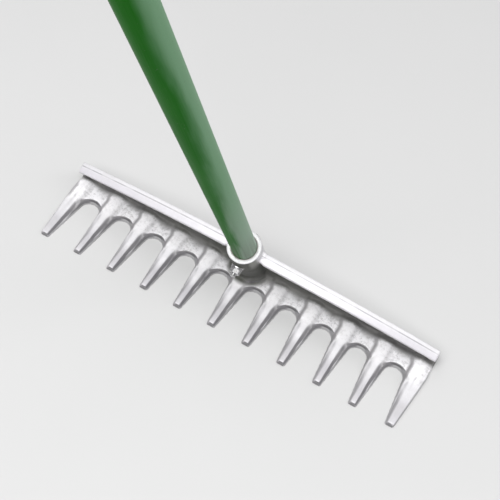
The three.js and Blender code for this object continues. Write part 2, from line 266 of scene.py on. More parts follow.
class Nodes(Masks):
    def mix_value(self, amount, first, second):
        inputs = {0: amount, 2: first, 3: second}
        return self.node("ShaderNodeMix", inputs, data_type="FLOAT").outputs[0]

    def mix(self, amount, first, second, blend="MIX"):
        # This node keeps sockets for numbers, vectors and colours; 6 and 7 are the colours.
        inputs = {0: amount, 6: opaque(first), 7: opaque(second)}
        made = self.node("ShaderNodeMix", inputs, data_type="RGBA", blend_type=blend)
        return made.outputs[2]

    def layers(self, base, *stack):
        for amount, colour, *blend in stack:
            base = self.mix(amount, base, colour, *blend)
        return base

    def ramp(self, source, *stops):
        made = self.node("ShaderNodeValToRGB", {"Fac": source})
        while len(made.color_ramp.elements) < len(stops):
            made.color_ramp.elements.new(0.5)
        for element, (position, colour) in zip(made.color_ramp.elements, stops):
            element.position = position
            element.color = opaque(colour)
        return made.outputs["Color"]

    def group(self, group, **inputs):
        return self.node("ShaderNodeGroup", inputs, node_tree=group).outputs

    def surface(self, shader, colour, roughness, height, strength, distance):
        inputs = {"Height": height, "Strength": strength, "Distance": distance}
        bump = self.node("ShaderNodeBump", inputs).outputs["Normal"]
        for name, source in (("Base Color", colour), ("Roughness", roughness), ("Normal", bump)):
            self.put(shader.inputs[name], source)


# %% [markdown]
# A new material comes with its shader. What is the same all over a piece is set on the
# shader itself, and the rest is wired to it. Every pattern reads object coordinates, so it
# stays where it is on the piece. Groups and geometry trees are set up alike: a list of
# named inputs, a list of outputs, and the nodes between them.

# %% New materials and node trees
FLOAT, VECTOR = "NodeSocketFloat", "NodeSocketVector"


def new_material(name, **constants):
    material = bpy.data.materials.new(name)
    material.use_nodes = True
    n = Nodes(material.node_tree)
    shader = material.node_tree.nodes["Principled BSDF"]
    for key, value in constants.items():
        shader.inputs[key.replace("_", " ")].default_value = value
    coordinates = n.node("ShaderNodeTexCoord").outputs
    return material, n, shader, coordinates["Object"], coordinates["Normal"]


def new_tree(name, kind, inputs, outputs):
    # An input is given by its kind of socket, or by a number that becomes its usual value.
    tree = bpy.data.node_groups.new(name, kind)
    for label, value in inputs.items():
        number = isinstance(value, float)
        socket = tree.interface.new_socket(
            label, in_out="INPUT", socket_type=FLOAT if number else value)
        if number:
            socket.default_value = value
    for label, value in outputs.items():
        tree.interface.new_socket(label, in_out="OUTPUT", socket_type=value)
    given = tree.nodes.new("NodeGroupInput").outputs
    return Nodes(tree), given, tree.nodes.new("NodeGroupOutput").inputs


# %% [markdown]
# Three effects are used by more than one finish, so each is a node group that is built once.
# Fine grain gives every surface its small uneven sheen. Edge wear brightens what stands
# proud and is rubbed by sand and hands; it reads how sharply the surface turns, called
# pointiness. Dust settles in cloudy patches on faces that look up.

# %% Shared effects: grain, edge wear and dust
BROAD_GRAIN = 0.08
WEAR_PATCHES = 160.0


def grain_group():
    n, given, out = new_tree(
        "fine grain", "ShaderNodeTree",
        {"Vector": VECTOR, "Scale": 400.0, "Roughness": 0.3, "Spread": 0.1},
        {"Roughness": FLOAT, "Height": FLOAT})
    fine = n.noise(given["Vector"], given["Scale"], 4.0, 0.6)
    broad = n.noise(given["Vector"], n.times(given["Scale"], BROAD_GRAIN), 2.0)
    both = n.add(n.times(fine, 0.5), n.times(broad, 0.5))
    shift = n.times(n.minus(both, 0.5), given["Spread"])
    n.put(out["Roughness"], n.add(given["Roughness"], shift))
    n.put(out["Height"], fine)
    return n.tree


def edge_wear_group():
    n, given, out = new_tree(
        "edge wear", "ShaderNodeTree",
        {"Vector": VECTOR, "Start": 0.52, "Full": 0.6, "Breakup": 0.03}, {"Mask": FLOAT})
    sharp = n.node("ShaderNodeNewGeometry").outputs["Pointiness"]
    patchy = n.minus(n.noise(given["Vector"], WEAR_PATCHES), 0.5)
    uneven = n.add(sharp, n.times(patchy, given["Breakup"]))
    n.put(out["Mask"], n.span(uneven, given["Start"], given["Full"]))
    return n.tree


def dust_group():
    n, given, out = new_tree(
        "settled dust", "ShaderNodeTree",
        {"Vector": VECTOR, "Amount": 0.3, "Scale": 30.0}, {"Mask": FLOAT})
    normal = n.node("ShaderNodeNewGeometry").outputs["Normal"]
    level = n.span(n.dot(normal, (0, 0, 1)), 0.2, 0.95)
    cloud = n.span(n.noise(given["Vector"], given["Scale"], 5.0, 0.65), 0.42, 0.75)
    n.put(out["Mask"], n.times(level, cloud, given["Amount"]))
    return n.tree


FINE_GRAIN = grain_group()
EDGE_WEAR = edge_wear_group()
DUST = dust_group()
print("shader groups", [g.name for g in bpy.data.node_groups])

# %% [markdown]
# The head is one aluminium casting: a row of tapered tines, an arched web with a rim along
# its top, and the socket. A sand mould leaves every edge and inner corner soft, and a
# measured solid has neither. A voxel remesh turns the solid into an even skin of small
# squares, and a few smoothing passes then melt its edges as a mould would. The turned top
# of the socket is held back from the smoothing with a vertex group, because a lathe cut
# it, and so is the flat back, which has to stay on the floor.

# %% Cast head: an even skin with melted edges
SKIN_VOXEL = 0.8 * MM
SMOOTH_PASSES = 3
SMOOTH_STRENGTH = 0.5
LATHE_CUT_DEPTH = 2.2 * MM
SOFT_AT_CUT, SOFT_AT_FLOOR = 0.12, 0.3

cast_head = merged_copy("rake_head", "cast_head")
skin = cast_head.modifiers.new("skin", "REMESH")
skin.mode = "VOXEL"
skin.voxel_size = SKIN_VOXEL
live_result(cast_head)

corners = np.array([v.co for v in cast_head.data.vertices])
below_cut = SOCKET_TOP - LATHE_CUT_DEPTH / 2 - corners @ np.array(ALONG)
soft = np.clip(below_cut / LATHE_CUT_DEPTH, SOFT_AT_CUT, 1.0)
soft[corners[:, 2] < SKIN_VOXEL] = SOFT_AT_FLOOR
softness = cast_head.vertex_groups.new(name="softness")
for share in np.unique(np.round(soft, 2)):
    members = np.flatnonzero(np.round(soft, 2) == share).tolist()
    softness.add(members, float(share), "REPLACE")
melt = cast_head.modifiers.new("melt", "SMOOTH")
melt.factor = SMOOTH_STRENGTH
melt.iterations = SMOOTH_PASSES
melt.vertex_group = "softness"
print("skin corners", len(corners))

# %% [markdown]
# The casting's rules are written in its own measures: how far a point lies beside the
# nearest tine, in front of the web, across the leaning web, and past the lower edge of the
# rim's bead, which follows a flat arch. The relief and the finish both read this one table.

# %% Measures of the casting
TINE_PITCH = 41 * MM
HEAD_HALF = 216 * MM
LAST_TINE = 205 * MM
WEB_LEAN = math.radians(28.4)
WEB_SET_BACK = 7.2 * MM
WEB_ACROSS = Vector((0, math.cos(WEB_LEAN), math.sin(WEB_LEAN)))
WEB_UP = Vector((0, -math.sin(WEB_LEAN), math.cos(WEB_LEAN)))
RIM_CROWN, RIM_END, RIM_BEAD = mm(74, 28, 7)
print("tines", round(2 * LAST_TINE / TINE_PITCH) + 1, "at a pitch of", round(TINE_PITCH, 4))


def measures(n, place, pitch=TINE_PITCH):
    x = n.dot(place, (1, 0, 0))
    nearest = n.math("SNAP", n.add(x, n.times(pitch, 0.5)), pitch)
    end_share = n.over(x, HEAD_HALF)
    fall = n.times(end_share, end_share, RIM_CROWN - RIM_END)
    up_web = n.add(n.dot(place, WEB_UP), WEB_SET_BACK * math.sin(WEB_LEAN))
    return SimpleNamespace(
        place=place, x=x, to_side=n.size(x), beside=n.minus(x, nearest),
        in_front=n.dot(place, (0, -1, 0)), height=n.dot(place, (0, 0, 1)),
        along=n.dot(place, ALONG),
        across=n.minus(n.dot(place, WEB_ACROSS), WEB_SET_BACK * math.cos(WEB_LEAN)),
        past_bead=n.minus(n.add(fall, up_web), RIM_CROWN - RIM_BEAD))


# %% [markdown]
# All tines are alike, so their casting detail follows one rule in X, and that is work for
# Geometry Nodes. From the place beside the nearest tine, the tree works out how high the
# plate should stand there: a ridge with a steep left flank and a long soft right one, as
# the pattern maker's hand left it, with a rounded crown. The height is stretched from the
# floor, so the flat back and the walls' foot stay where they are. The front of the rim is
# made a little fuller. A seeded noise then makes the skin uneven, but not on the lathe-cut
# ring. The main numbers are named inputs, so another comb needs only other numbers.

# %% Geometry Nodes: the rules of the comb's relief
COMB_INPUTS = {
    "Pitch": TINE_PITCH, "Plate Height": 7.6 * MM, "Solid Recess": 2 * MM,
    "Panel Height": 6.9 * MM, "Ridge Rise": 2.3 * MM, "Crown Rise": 0.6 * MM,
    "Tine Fall Share": 0.5, "Rim Swell": 1.2 * MM, "Unevenness": 0.3 * MM,
    "Noise Scale": 150.0, "Seed": 4.0}
HOLLOW_END, HOLLOW_GROWTH, HOLLOW_POWER = 3 * MM, 10 * MM, 2.2
SOLID_FLANK = mm(3, 8.6)
RIDGE_LEFT, RIDGE_RIGHT = mm(-11.2, -6.6), mm(9.5, 3)
CROWN_LEFT, CROWN_RIGHT = mm(-8, -2), mm(6, -1)
TRUMPET, TRUMPET_WIDTH = mm(20, 11), 2.5 * MM
RELIEF_START, RELIEF_END = mm(-10, 1), mm(64, 36)
TINE_START, TINE_TAPER = mm(29, 41), mm(34, 66)
TINE_HALF, TAPER_LOSS, TINE_FLAT = mm(9.5, 4, 1.8)


def hollow_foot(n, at):
    # Where the hollow curve under the web meets the plate; it reaches out in the middle.
    to_middle = n.minus(1.0, n.over(at.to_side, HEAD_HALF))
    return n.add(n.times(n.math("POWER", to_middle, HOLLOW_POWER), HOLLOW_GROWTH), HOLLOW_END)


def plate_stretch(n, at, given):
    # What the wanted height adds to the solid's, as a share of it. The ridges begin on the
    # hollow curve, and widen to the left there, like the mouth of a trumpet.
    recess = n.times(n.span(n.size(at.beside), *SOLID_FLANK), given["Solid Recess"])
    solid = n.minus(given["Plate Height"], recess)
    from_left = n.add(at.beside, n.times(n.span(at.in_front, *TRUMPET), TRUMPET_WIDTH))
    ridge = n.times(n.span(from_left, *RIDGE_LEFT), n.span(at.beside, *RIDGE_RIGHT),
                    given["Ridge Rise"])
    crown = n.times(n.span(at.beside, *CROWN_LEFT), n.span(at.beside, *CROWN_RIGHT),
                    given["Crown Rise"])
    wanted = n.add(given["Panel Height"], ridge, crown)
    before_foot = n.minus(at.in_front, hollow_foot(n, at))
    on_root = n.times(n.span(before_foot, *RELIEF_START), n.span(at.in_front, *RELIEF_END))
    between = n.span(at.to_side, LAST_TINE + 4 * MM, LAST_TINE - 2 * MM)
    return n.times(n.over(n.times(n.minus(wanted, solid), on_root), solid), between)


def tine_fall(n, at, given):
    # Tines slope down beside a narrow flat. The outer sides of the two last ones do not.
    half = n.minus(TINE_HALF, n.times(n.span(at.in_front, *TINE_TAPER), TAPER_LOSS))
    return n.times(n.span(n.size(at.beside), TINE_FLAT, half),
                   n.span(at.in_front, *TINE_START), given["Tine Fall Share"],
                   n.span(at.to_side, LAST_TINE + 4 * MM, LAST_TINE))


def rim_front(n, at):
    return n.times(n.span(at.past_bead, *mm(-1.2, 0.6)), n.span(at.across, *mm(-1, -3.5)),
                   n.span(at.to_side, *mm(19, 24)))


# %% [markdown]
# Geometry trees share their first and last steps. They take in a mesh and a material, and
# at the end any instances become real mesh, which then gets its material. The modifier
# that runs a tree is set by each input's identifier, because names are only labels.

# %% Geometry Nodes: the comb's tree
GEOMETRY, MATERIAL = "NodeSocketGeometry", "NodeSocketMaterial"


def geometry_tree(name, inputs):
    inputs = {"Geometry": GEOMETRY, **inputs, "Material": MATERIAL}
    return new_tree(name, "GeometryNodeTree", inputs, {"Geometry": GEOMETRY})


def close_tree(n, move, given, out):
    real = n.node("GeometryNodeRealizeInstances", {0: move.outputs[0]})
    inputs = {"Geometry": real.outputs[0], "Material": given["Material"]}
    n.put(out["Geometry"], n.node("GeometryNodeSetMaterial", inputs).outputs[0])
    return n.tree


def run_tree(piece, tree, **values):
    modifier = piece.modifiers.new(tree.name, "NODES")
    modifier.node_group = tree
    for item in tree.interface.items_tree:
        if item.in_out == "INPUT" and item.name in values:
            modifier[item.identifier] = values[item.name]


def comb_tree():
    n, given, out = geometry_tree("comb relief", COMB_INPUTS)
    at = measures(n, n.node("GeometryNodeInputPosition").outputs[0], given["Pitch"])
    normal = n.node("GeometryNodeInputNormal").outputs[0]
    share = n.minus(plate_stretch(n, at, given), tine_fall(n, at, given))
    stretch = n.times(share, at.height, n.span(at.height, *mm(25, 9)))
    inputs = {"Vector": at.place, "W": given["Seed"], "Scale": given["Noise Scale"],
              "Detail": 2.0}
    uneven = n.node("ShaderNodeTexNoise", inputs, noise_dimensions="4D").outputs["Fac"]
    below_cut = n.span(at.along, SOCKET_TOP - 1.5 * MM, SOCKET_TOP - 4 * MM)
    wave = n.times(n.minus(uneven, 0.5), given["Unevenness"], below_cut,
                   n.span(at.height, *mm(0.2, 2)))
    swell = n.times(rim_front(n, at), given["Rim Swell"])
    offset = (0, 0, 0)
    for direction, amount in ((normal, wave), ((0, 0, 1), stretch), (-WEB_ACROSS, swell)):
        part = n.vector("SCALE", a=direction, scale=amount)[0]
        offset = n.vector("ADD", a=offset, b=part)[0]
    inputs = {"Geometry": given["Geometry"], "Offset": offset}
    return close_tree(n, n.node("GeometryNodeSetPosition", inputs), given, out)


COMB_RELIEF = comb_tree()
print("comb tree nodes", len(COMB_RELIEF.nodes))

# %% [markdown]
# The finish of the head. Tumbled aluminium is bright where it is level and open, with a
# cloudy skin left by the sand mould. Under the web and round the front of the socket the
# skin is rougher, and painted shade makes it dark there. Its border swings out between the
# tines and is ragged. Painted shade also darkens the corners beside the ridges, and a thin
# line along the rim shows where the two halves of the mould met.

# %% Finish: where the painted shade, the dull skin and the parting line lie
PARTING_BACK = 1.12 * MM
PARTING_WIDTH = mm(0.85, 0.3)
PLATE_LEVEL = 8 * MM
SHADE_LEAN = 0.674
SHADE_REACH, SHADE_SWING, SHADE_RAGGED = mm(11.6, -2.2, 4)
SHADE_SOFTNESS, SOFTNESS_SWING = mm(3.9, -2)
SOCKET_SKIN = mm(19.2, 18.3)
LEFT_CORNER_SHADE, RIGHT_CORNER_SHADE = mm(-12.8, -9.6, -8.2, -5.4), mm(3.5, 7, 8, 11)
ROOT_PLATE = mm(8, 13, 31, 40)


def parting_line(n, at, normal):
    line = n.span(n.size(n.minus(at.across, PARTING_BACK)), *PARTING_WIDTH)
    broken = n.span(n.noise(at.place, 45.0), 0.3, 0.55, 0.35, 1.0)
    return n.times(line, broken, n.span(n.dot(normal, WEB_UP), 0.6, 0.9))


# Painted shade: a dark mask under the web, under the rim's bead and round the socket, where the
# skin is also rougher.
def shaded_dull_zone(n, at):
    # How far in front of the web's foot a point lies. Height counts against it, so that the
    # leaning web and the socket both stay inside the zone.
    in_front = n.add(n.dot(at.place, (0, -1, -SHADE_LEAN)), SHADE_LEAN * PLATE_LEVEL)
    wave = n.math("COSINE", n.times(at.beside, 2 * math.pi / TINE_PITCH))
    ragged = n.times(n.minus(n.noise(at.place, 190.0, 4.0, 0.68), 0.5), SHADE_RAGGED)
    border = n.add(n.times(wave, SHADE_SWING), SHADE_REACH, ragged,
                   n.span(at.x, -80 * MM, -180 * MM, 0.0, SHADE_SWING),
                   n.span(at.to_side, 70 * MM, 15 * MM, 0.0, 2 * MM))
    softness = n.add(n.times(wave, SOFTNESS_SWING), SHADE_SOFTNESS)
    past = n.over(n.minus(in_front, border), softness)
    below_rim = n.span(at.past_bead, *mm(1.2, -0.3))
    under_web = n.times(n.span(past, 1.1, -1.2), below_rim)
    near_socket = n.times(n.span(at.radius, *mm(29, 22)), below_rim)
    on_socket = n.times(n.span(at.radius, *SOCKET_SKIN), n.span(at.across, *mm(-4, -8)))
    zone = n.largest(under_web, near_socket, on_socket)
    under_lip = n.span(at.along, SOCKET_TOP - 0.7 * MM, SOCKET_TOP - 1.4 * MM)
    return n.times(zone, n.span(at.across, *mm(4, -3)), under_lip)


# Painted shade in the corners beside the ridges, darker beside the left flank.
def ridge_corner_shade(n, at):
    shifted = n.add(at.beside, n.span(at.in_front, *TRUMPET, 0.0, TRUMPET_WIDTH))
    both = n.add(n.band(shifted, *LEFT_CORNER_SHADE), n.times(n.band(at.beside, *RIGHT_CORNER_SHADE), 0.3))
    return n.times(both, n.band(at.in_front, *ROOT_PLATE), n.span(at.height, *mm(14, 10)))


# %% [markdown]
# The steep walls of the tines and arches get a painted shade of grey, with a painted
# highlight along their foot. How steep a point is, which way it faces and how high it lies
# tell whether it belongs to a wall. The painted shade is paler on walls that face left than
# on those that face right, and nearly black on walls that face the front. The outer sides
# of the two last tines are open and stay bright.

# %% Finish: painted shade and highlight on the walls of the tines and arches
OPEN_SIDE = mm(206, 209)
WALL_TOP, LEFT_WALL_TOP, EDGE_TOP = mm(8.9, 7.6), mm(7, 1.5), mm(9.1, 8.4)
FRONT_FOOT, SIDE_FOOT = mm(5, 3.4), mm(2.4, 1.6)
FOOT_HIGHLIGHT, TIP_FOOT_HIGHLIGHT = (0.40, 0.395, 0.405), (0.18, 0.176, 0.184)


def wall_shade_and_highlight(n, at, normal):
    up, to_right, to_tips = (n.dot(normal, axis) for axis in ((0, 0, 1), (1, 0, 0), (0, -1, 0)))
    left_flank = n.times(n.span(to_right, 0.0, -0.25), n.span(at.in_front, *mm(38, 48)))
    below_top = n.mix_value(left_flank, n.span(at.height, *WALL_TOP),
                            n.span(at.height, *LEFT_WALL_TOP))
    arch_edge = n.times(n.span(up, 0.985, 0.87), n.span(at.height, *EDGE_TOP),
                        n.span(at.in_front, *mm(40, 34)), n.span(to_tips, 0.12, 0.28))
    steep = n.largest(n.times(n.span(up, 0.95, 0.72), below_top), arch_edge)
    open_side = n.times(n.span(at.to_side, *OPEN_SIDE), n.span(at.height, *mm(2, 4)), 0.7)
    mask = n.times(steep, n.span(at.in_front, *mm(14, 20)), n.minus(1.0, open_side))

    sideways = n.span(n.size(to_right), 0.25, 0.6)
    # Painted shade, paler on walls that face left than on those that face right.
    flank_shade = n.mix(n.span(to_right, -0.2, 0.2), (0.27, 0.265, 0.275), (0.155, 0.15, 0.16))
    wall_shade_grey = n.mix(sideways, (0.048, 0.046, 0.050), flank_shade)
    # Painted highlight along the foot of the walls.
    front_foot_highlight = n.mix(n.span(at.in_front, *mm(70, 80)), FOOT_HIGHLIGHT, TIP_FOOT_HIGHLIGHT)
    foot = n.mix_value(sideways, n.span(at.height, *FRONT_FOOT), n.span(at.height, *SIDE_FOOT))
    return mask, n.mix(foot, wall_shade_grey, n.mix(sideways, front_foot_highlight, FOOT_HIGHLIGHT))


# %% [markdown]
# The open metal is not one tone either. The crowns of the ridges and the plate near the
# web are painted brightest, as painted light against the shade of the web above them, and a
# dark mottle is left on the plate near the web, where the tumbling stones reached least. The
# tines are painted greyer towards their tips and a little paler again at the very end, and
# the head's outer part and the rim's front are painted a little darker, all as painted
# light and shade. The painted shade on the dull skin is greenish in the middle, violet
# further out and paler low on the web, with a painted highlight as a pale streak on the
# socket's right side.

# %% Finish: tones of the open metal and of the painted shade on the dull skin
HIGHLIGHT_SIDE = (0.925, -0.33, -0.18)
ON_TINE, MID_TINE, NEAR_TIP = mm(32, 45), mm(50, 68), mm(76, 88)


def open_metal(n, at, cloud, pits):
    plate = n.times(n.span(at.in_front, *mm(4, 9)), n.span(at.height, *mm(14, 9)))
    crown = n.times(n.span(n.size(n.add(at.beside, 2 * MM)), *mm(9, 3)),
                    n.span(at.in_front, *mm(52, 36)), plate)
    less_tumbled = n.times(n.span(at.in_front, *mm(44, 24)), plate)
    mottle = n.times(n.span(n.noise(at.place, 240.0, 6.0, 0.78), 0.46, 0.66),
                     n.add(n.times(less_tumbled, 0.6), 0.10),
                     n.minus(1.0, n.times(crown, 0.6)))
    outer = n.times(n.span(at.to_side, *mm(80, 160)), n.band(at.in_front, *mm(20, 34, 52, 64)))
    bead = n.times(n.span(at.across, PARTING_BACK - 0.6 * MM, PARTING_BACK - 2.4 * MM),
                   n.span(at.height, *mm(14, 20)), n.span(at.radius, *mm(17, 19)))
    clouded = n.ramp(cloud, (0.3, (0.70, 0.69, 0.71)), (0.5, (0.735, 0.725, 0.745)),
                     (0.72, (0.77, 0.76, 0.78)))
    # Painted light on the plate and crowns; painted shade on the tines, the outer part and the
    # rim's front.
    return n.layers(
        clouded, (plate, (0.93, 0.92, 0.94)), (crown, (0.985, 0.975, 0.99)),
        (n.span(at.in_front, *ON_TINE), (0.79, 0.78, 0.80)),
        (n.span(at.in_front, *MID_TINE), (0.53, 0.52, 0.54)),
        (n.span(at.in_front, *NEAR_TIP), (0.60, 0.59, 0.61)),
        (outer, (0.86, 0.86, 0.86), "MULTIPLY"), (bead, (0.93, 0.92, 0.94), "MULTIPLY"),
        (mottle, (0.43, 0.42, 0.43)), (n.times(pits, 0.5), (0.42, 0.41, 0.42)))


# Tones of the painted shade under the web and on the socket.
def painted_shade_tones(n, at, normal, cloud):
    further_out = n.span(at.to_side, *mm(50, 170))
    low_web = n.times(n.span(at.height, *mm(20, 11)), n.span(at.radius, *mm(26, 36)), 0.4)
    # Painted highlight: a pale streak down the socket's right side.
    socket_highlight = n.times(n.span(n.dot(normal, HIGHLIGHT_SIDE), 0.86, 0.97),
                     n.span(at.radius, *SOCKET_SKIN),
                     n.span(at.along, SOCKET_TOP - 32 * MM, SOCKET_TOP - 12 * MM), 0.8)
    return n.layers(
        (0.081, 0.085, 0.071), (further_out, (0.080, 0.077, 0.081)),
        (n.span(cloud, 0.35, 0.65), (0.135, 0.135, 0.127)),
        (low_web, (0.190, 0.187, 0.180)), (socket_highlight, (0.40, 0.405, 0.38)))


# %% [markdown]
# With the places known, the finish is a stack: open metal with painted light, painted shade
# on the dull skin, painted shade and highlight on the walls, painted shade in the ridges'
# corners, the parting line, worn edges, dust, and the turned ring on top, with fine circles
# from the lathe. The narrow gap round the handle is painted a brownish grey as painted
# shade. Roughness follows the same masks, and the bump adds pebbles and pits that are too
# small to be worth corners of their own.

# %% Finish: cast aluminium
LATHE_STEP = 0.45 * MM
RING_GAP = mm(14.4, 13.8)


def cast_aluminium():
    material, n, shader, place, normal = new_material("cast aluminium", Metallic=0.1)
    at = measures(n, place)
    at.radius = n.length(n.vector("CROSS_PRODUCT", a=place, b=ALONG)[0])
    shaded_dull = shaded_dull_zone(n, at)
    wall, wall_shade_tone = wall_shade_and_highlight(n, at, normal)
    cloud = n.noise(place, 38.0, 5.0, 0.6)
    pits = n.span(n.noise(place, 520.0, 4.0, 0.65), 0.66, 0.74)
    turned = n.times(n.span(at.along, SOCKET_TOP - 0.9 * MM, SOCKET_TOP - 0.4 * MM),
                     n.span(n.dot(normal, ALONG), 0.7, 0.95))
    # Painted shade in the narrow gap round the handle.
    gap_shade = n.times(n.span(at.radius, *RING_GAP),
                  n.span(at.along, SOCKET_TOP - 4 * MM, SOCKET_TOP - 3 * MM))
    rubbed = n.group(EDGE_WEAR, Vector=place, Start=0.53, Full=0.58)["Mask"]
    rubbed = n.times(rubbed, n.span(at.height, *mm(9, 14)), n.minus(1.0, shaded_dull))
    grain = n.group(FINE_GRAIN, Vector=place, Scale=900.0, Roughness=0.40, Spread=0.35)
    dust = n.group(DUST, Vector=place, Amount=0.2, Scale=60.0)["Mask"]
    colour = n.layers(
        open_metal(n, at, cloud, pits), (shaded_dull, painted_shade_tones(n, at, normal, cloud)),
        (n.times(wall, 0.92), wall_shade_tone),
        (n.times(ridge_corner_shade(n, at), 0.8), (0.29, 0.28, 0.29)),
        (parting_line(n, at, normal), (0.40, 0.39, 0.41)), (rubbed, (0.78, 0.77, 0.79)),
        (dust, (0.60, 0.585, 0.565)), (turned, (0.70, 0.70, 0.705)),
        (gap_shade, (0.50, 0.47, 0.45)))
    rough = n.add(grain["Roughness"], n.times(shaded_dull, 0.2), n.times(dust, 0.3),
                  n.times(rubbed, -0.08))
    pebbles = n.node("ShaderNodeTexVoronoi", {"Vector": place}, feature="SMOOTH_F1")
    pebbles.inputs["Scale"].default_value = 620.0
    pebbles.inputs["Smoothness"].default_value = 0.7
    skin_height = n.add(n.times(pebbles.outputs["Distance"], 0.55),
                        n.times(grain["Height"], 0.3), n.times(pits, -0.35))
    circles = n.times(n.math("SINE", n.times(at.radius, 2 * math.pi / LATHE_STEP)), 0.05)
    n.surface(shader, colour, n.mix_value(turned, rough, 0.3),
              n.mix_value(turned, skin_height, circles), 0.5, 0.25 * MM)
    return material


CAST_ALUMINIUM = cast_aluminium()
print("cast aluminium nodes", len(CAST_ALUMINIUM.node_tree.nodes))

# %% [markdown]
# Now the modifiers run, and the dense skin is thinned where it is flat. Thinning after the
# relief keeps small triangles only where the surface curves.

# %% Cast head: run the relief and thin the skin
MOST_TRIANGLES = 180000

run_tree(cast_head, COMB_RELIEF, Material=CAST_ALUMINIUM)
live_result(cast_head)
thin = cast_head.modifiers.new("thin", "DECIMATE")
thin.ratio = min(1.0, MOST_TRIANGLES / triangle_count(cast_head))
live_result(cast_head)
cast_head.data.shade_smooth()
cast_head.vertex_groups.clear()
finish_piece(cast_head, ["rake_head"], CAST_ALUMINIUM)

# %% [markdown]
# The handle is a drawn aluminium tube with a green satin lacquer. Its solid already has the
# right wall and bolt holes, but its faces run the whole length, so a copy is cut across
# every few centimetres. Shading smooth by angle keeps the rims crisp and the wall round.

# %% Handle tube
RING_SPACING = 25 * MM
SHARP_ANGLE = math.radians(40)


def smooth_by_angle(piece):
    piece.data.shade_smooth()
    piece.data.set_sharp_from_angle(angle=SHARP_ANGLE)


def cut_across(piece, low, high):
    work = bmesh.new()
    work.from_mesh(piece.data)
    for place in np.arange(low + RING_SPACING, high, RING_SPACING):
        everything = list(work.verts) + list(work.edges) + list(work.faces)
        bmesh.ops.bisect_plane(work, geom=everything, dist=MERGE_DISTANCE,
                               plane_co=ALONG * float(place), plane_no=ALONG)
    work.to_mesh(piece.data)
    work.free()


green_handle = merged_copy("handle_tube", "green_handle")
lengths = [v.co.dot(ALONG) for v in green_handle.data.vertices]
TUBE_BOTTOM, TUBE_TOP = min(lengths), max(lengths)
cut_across(green_handle, SOCKET_TOP + RING_SPACING, TUBE_TOP)
smooth_by_angle(green_handle)
print("tube from", round(TUBE_BOTTOM, 4), "to", round(TUBE_TOP, 4))

# %% [markdown]
# The lacquer is thin and satin, so it hardly mirrors. It is a dark green, with a painted
# sheen of pale grey green on the side that faces back and to the right, in soft long
# patches; as paint it stays put under any light. Drawing the tube left faint lines along it.
# Patterns that run along the tube are measured in the handle's own directions and shrunk
# along it. Near the socket the painted sheen reaches further round and is paler, and the
# lacquer is scuffed in grey streaks.

# %% Finish: green lacquer
SHEEN_SIDE = (0.61, 0.72, 0.32)
PATCH_STRETCH, LINE_STRETCH = 0.09, 0.012
SHEEN_REACH, SOCKET_SHEEN_REACH, SCUFFED_REACH = mm(400, 260, 75)
SHEEN_FULL = 60 * MM


def shrunk_along(n, place, stretch):
    axes = ((1, 0, 0), BEHIND, ALONG * stretch)
    parts = {k: n.dot(place, axis) for k, axis in enumerate(axes)}
    return n.node("ShaderNodeCombineXYZ", parts).outputs[0]


def green_lacquer():
    material, n, shader, place, normal = new_material(
        "green lacquer", Metallic=0.0, Specular_IOR_Level=0.012)
    past_socket = n.minus(n.dot(place, ALONG), SOCKET_TOP)
    # Painted sheen: it reaches further round the tube near the socket.
    sheen_wider = n.span(past_socket, SHEEN_REACH, SHEEN_FULL, 0.10, 0.55)
    patches = n.noise(shrunk_along(n, place, PATCH_STRETCH), 110.0, 3.0, 0.55)
    patches = n.span(patches, 0.3, 0.7, -0.13, 0.13)
    # Painted sheen on the side that faces back and to the right.
    painted_sheen = n.span(n.add(n.dot(normal, SHEEN_SIDE), sheen_wider, patches), -0.22, 0.80)
    # Painted sheen, paler near the socket.
    socket_sheen = n.times(n.span(past_socket, SOCKET_SHEEN_REACH, 0.0), n.span(painted_sheen, 0.05, 0.6), 0.8)
    drawn = shrunk_along(n, place, LINE_STRETCH)
    lines = n.noise(drawn, 900.0, 3.0, 0.6)
    scuffed = n.times(n.span(past_socket, SCUFFED_REACH, 0.0),
                      n.span(n.noise(drawn, 260.0, 4.0, 0.6), 0.38, 0.7))
    cloud = n.span(n.noise(place, 14.0, 4.0, 0.55), 0.3, 0.7)
    specks = n.span(n.noise(place, 520.0, 3.0, 0.6), 0.66, 0.74)
    grain = n.group(FINE_GRAIN, Vector=place, Scale=700.0, Roughness=0.34, Spread=0.16)
    dust = n.group(DUST, Vector=place, Amount=0.25, Scale=26.0)["Mask"]
    colour = n.layers(
        (0.010, 0.160, 0.005), (cloud, (0.018, 0.187, 0.011)),
        (n.span(lines, 0.3, 0.75, 0.0, 0.35), (0.038, 0.200, 0.032)),
        (n.times(painted_sheen, 0.85), (0.270, 0.490, 0.300)), (socket_sheen, (0.42, 0.54, 0.445)),
        (n.times(scuffed, 0.7), (0.25, 0.285, 0.24)),
        (n.times(specks, 0.4), (0.155, 0.185, 0.145)), (dust, (0.23, 0.26, 0.215)))
    rough = n.add(grain["Roughness"], n.times(scuffed, 0.14), n.times(dust, 0.2))
    height = n.add(lines, n.times(grain["Height"], 0.5))
    n.surface(shader, colour, rough, height, 0.12, 0.05 * MM)
    return material


finish_piece(green_handle, ["handle_tube"], green_lacquer())

# %% [markdown]
# The remaining pieces were all turned or stamped round an axis. One helper spins a closed
# outline of radius and height pairs into rings of corners. A rule may change the radius by
# angle, which is all that a six-sided nut needs. Where the outline touches the axis, the
# ring shrinks to one point, so that no pole stays open.

